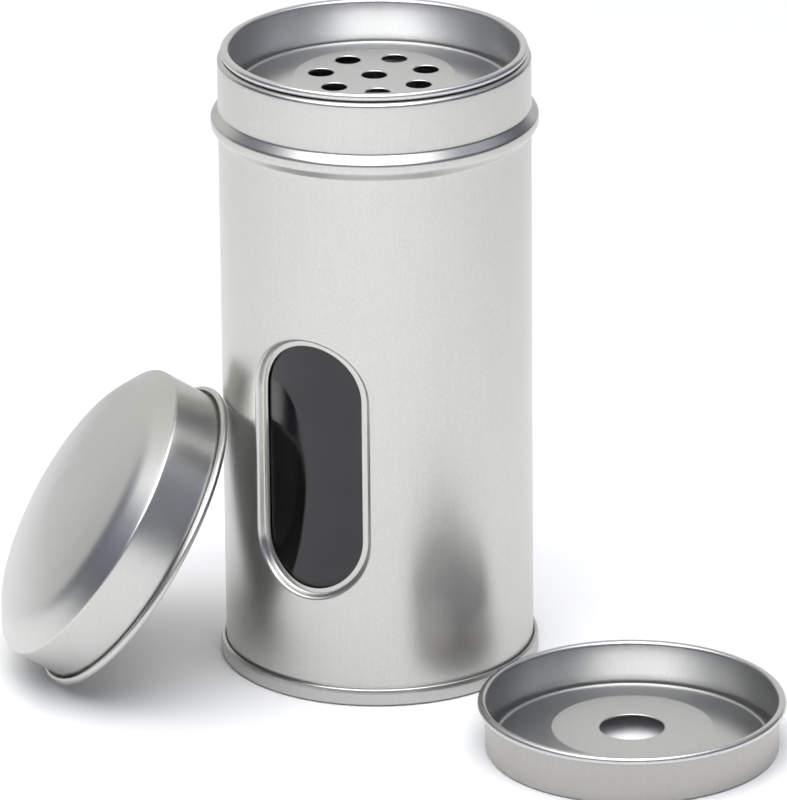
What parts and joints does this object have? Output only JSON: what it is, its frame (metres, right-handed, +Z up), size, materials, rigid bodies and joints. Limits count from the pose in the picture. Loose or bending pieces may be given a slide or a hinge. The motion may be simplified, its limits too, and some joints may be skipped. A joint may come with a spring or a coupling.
{
  "type": "spice tin",
  "caption": "Round upright tinplate spice tin with a slot window, shaker insert, spare pour insert and a domed slip-on lid.",
  "frame": {"origin": "centre of the tin's base seam, on the surface it stands on", "axes": "+Z up along the tin's axis, -Y out of the window; the lid leans at azimuth 217.2 degrees from +X and the loose pour insert lies at -20.0 degrees"},
  "size_m": [0.1497, 0.0846, 0.1135],
  "materials": {
    "tin_body": "satin tinplate",
    "tin_base": "satin tinplate",
    "seam_compound": "matt lining compound",
    "window_plastic": "clear glossy plastic film",
    "window_glue": "glue film",
    "sifter_tin": "satin tinplate",
    "pour_tin": "satin tinplate",
    "lid_tin": "satin tinplate"
  },
  "bodies": {
    "tin": {"body_shell": "tin_body", "base_plate": "tin_base", "base_seam_compound": "seam_compound", "window_pane": "window_plastic", "window_adhesive": "window_glue"},
    "sifter": {"sifter_insert": "sifter_tin"},
    "pour": {"pour_insert": "pour_tin"},
    "lid": {"domed_lid": "lid_tin"}
  },
  "joints": [
    {"name": "sifter_lift", "type": "slide", "parent": "tin", "child": "sifter", "axis": [0, 0, 1], "range_m": [0, 0.03]},
    {"name": "pour_lift", "type": "slide", "parent": "tin", "child": "pour", "axis": [0, 0, 1], "range_m": [0, 0.04]},
    {"name": "lid_lift", "type": "slide", "parent": "tin", "child": "lid", "axis": [-0.6642, -0.5042, 0.5519], "range_m": [0, 0.06]}
  ]
}
